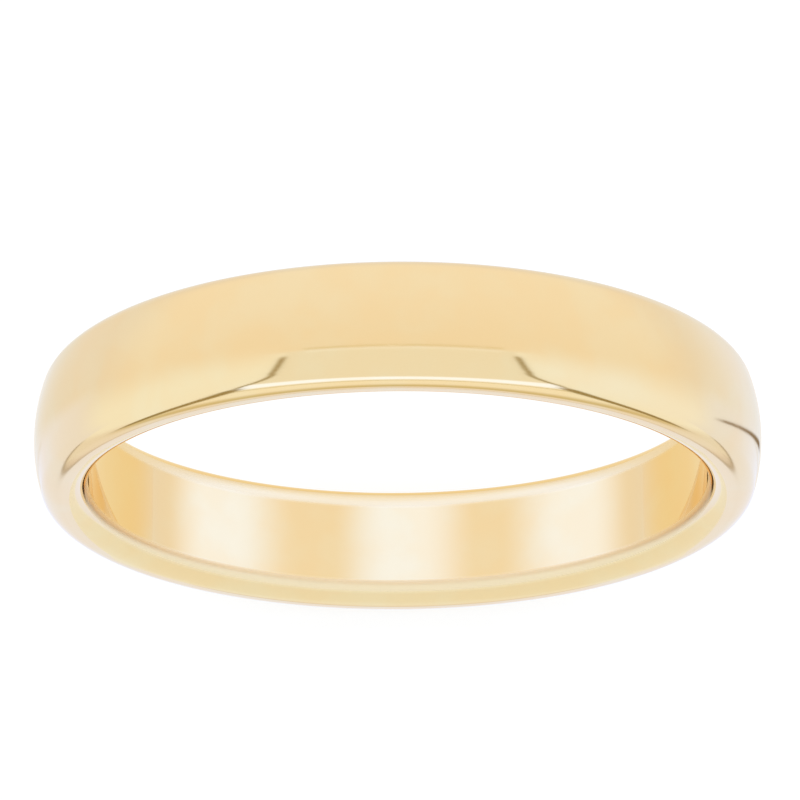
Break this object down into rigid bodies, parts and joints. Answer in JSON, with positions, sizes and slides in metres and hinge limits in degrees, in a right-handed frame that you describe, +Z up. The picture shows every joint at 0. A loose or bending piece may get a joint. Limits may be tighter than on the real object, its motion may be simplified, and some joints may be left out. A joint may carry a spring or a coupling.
{
  "type": "wedding band",
  "caption": "Plain polished yellow-gold ring with a low-domed outside, rounded shoulders and rounded inner edges, stored standing on its edge.",
  "frame": {"origin": "centre of the finger hole, midway along the band's width", "axes": "+Y along the ring's axis, the way the finger goes through; +Z up, so the band stands on its edge; +X to the side"},
  "size_m": [0.0202, 0.0036, 0.0202],
  "materials": {
    "gold": "mirror-polished yellow gold"
  },
  "bodies": {
    "root": {"band": "gold"}
  },
  "joints": []
}
